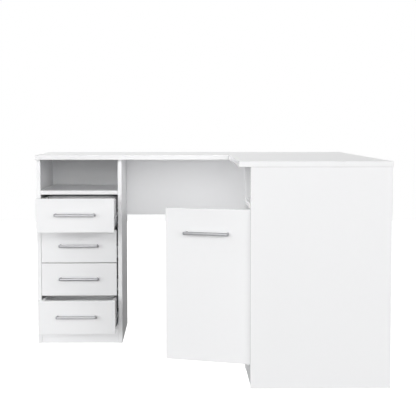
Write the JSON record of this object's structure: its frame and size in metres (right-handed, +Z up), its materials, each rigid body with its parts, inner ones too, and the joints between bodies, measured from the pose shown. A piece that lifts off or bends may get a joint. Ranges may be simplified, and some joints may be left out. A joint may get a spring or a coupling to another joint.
{
  "type": "corner desk",
  "caption": "White L-shaped corner desk: a drawer pedestal with an open niche, a wing with a niche over a door cupboard, bow handles and panel legs.",
  "frame": {"origin": "centre of the outline's bounding box, on the floor", "axes": "+Z up; +X along the main worktop from the drawer pedestal to the wing side; +Y to the main worktop's back edge, so the wing reaches towards -Y"},
  "size_m": [1.262, 1.29, 0.75],
  "materials": {
    "white_melamine": "white melamine-faced board, satin, with matching white edge bands",
    "white_hardboard": "thin board, white lacquered on the inner face",
    "satin_nickel": "satin nickel on bent metal",
    "zinc_steel": "bright zinc-plated pressed steel"
  },
  "bodies": {
    "carcass": {"main_top": "white_melamine", "wing_top": "white_melamine", "rear_modesty_panel": "white_melamine", "wing_modesty_panel": "white_melamine", "corner_leg_panel": "white_melamine", "pedestal_left_side": "white_melamine", "pedestal_right_side": "white_melamine", "pedestal_niche_shelf": "white_melamine", "pedestal_bottom": "white_melamine", "pedestal_plinth": "white_melamine", "wing_end_panel": "white_melamine", "wing_inner_side": "white_melamine", "wing_niche_shelf": "white_melamine", "wing_cupboard_shelf": "white_melamine", "wing_bottom": "white_melamine", "wing_plinth": "white_melamine", "pedestal_back": "white_hardboard", "wing_back": "white_hardboard", "top_joint_plate_left": "zinc_steel", "top_joint_plate_right": "zinc_steel", "door_hinge_upper_arm": "zinc_steel", "door_hinge_lower_arm": "zinc_steel", "drawer_1_runner_left": "zinc_steel", "drawer_1_runner_right": "zinc_steel", "drawer_2_runner_left": "zinc_steel", "drawer_2_runner_right": "zinc_steel", "drawer_3_runner_left": "zinc_steel", "drawer_3_runner_right": "zinc_steel", "drawer_4_runner_left": "zinc_steel", "drawer_4_runner_right": "zinc_steel"},
    "drawer_1": {"drawer_1_front": "white_melamine", "drawer_1_box": "white_melamine", "drawer_1_bottom": "white_hardboard", "drawer_1_handle": "satin_nickel", "drawer_1_rail_left": "zinc_steel", "drawer_1_rail_right": "zinc_steel"},
    "drawer_2": {"drawer_2_front": "white_melamine", "drawer_2_box": "white_melamine", "drawer_2_bottom": "white_hardboard", "drawer_2_handle": "satin_nickel", "drawer_2_rail_left": "zinc_steel", "drawer_2_rail_right": "zinc_steel"},
    "drawer_3": {"drawer_3_front": "white_melamine", "drawer_3_box": "white_melamine", "drawer_3_bottom": "white_hardboard", "drawer_3_handle": "satin_nickel", "drawer_3_rail_left": "zinc_steel", "drawer_3_rail_right": "zinc_steel"},
    "drawer_4": {"drawer_4_front": "white_melamine", "drawer_4_box": "white_melamine", "drawer_4_bottom": "white_hardboard", "drawer_4_handle": "satin_nickel", "drawer_4_rail_left": "zinc_steel", "drawer_4_rail_right": "zinc_steel"},
    "door": {"door_panel": "white_melamine", "door_handle": "satin_nickel", "door_hinge_upper_cup": "zinc_steel", "door_hinge_lower_cup": "zinc_steel"}
  },
  "joints": [
    {"name": "drawer_1_slide", "type": "slide", "parent": "carcass", "child": "drawer_1", "axis": [0, -1, 0], "range_m": [-0.17, 0.04]},
    {"name": "drawer_2_slide", "type": "slide", "parent": "carcass", "child": "drawer_2", "axis": [0, -1, 0], "range_m": [0, 0.21]},
    {"name": "drawer_3_slide", "type": "slide", "parent": "carcass", "child": "drawer_3", "axis": [0, -1, 0], "range_m": [0, 0.21]},
    {"name": "drawer_4_slide", "type": "slide", "parent": "carcass", "child": "drawer_4", "axis": [0, -1, 0], "range_m": [-0.13, 0.08]},
    {"name": "door_hinge", "type": "hinge", "parent": "carcass", "child": "door", "pos_m": [0.165, -0.6275, 0.334], "axis": [0, 0, 1], "range_deg": [-69, 31]}
  ]
}
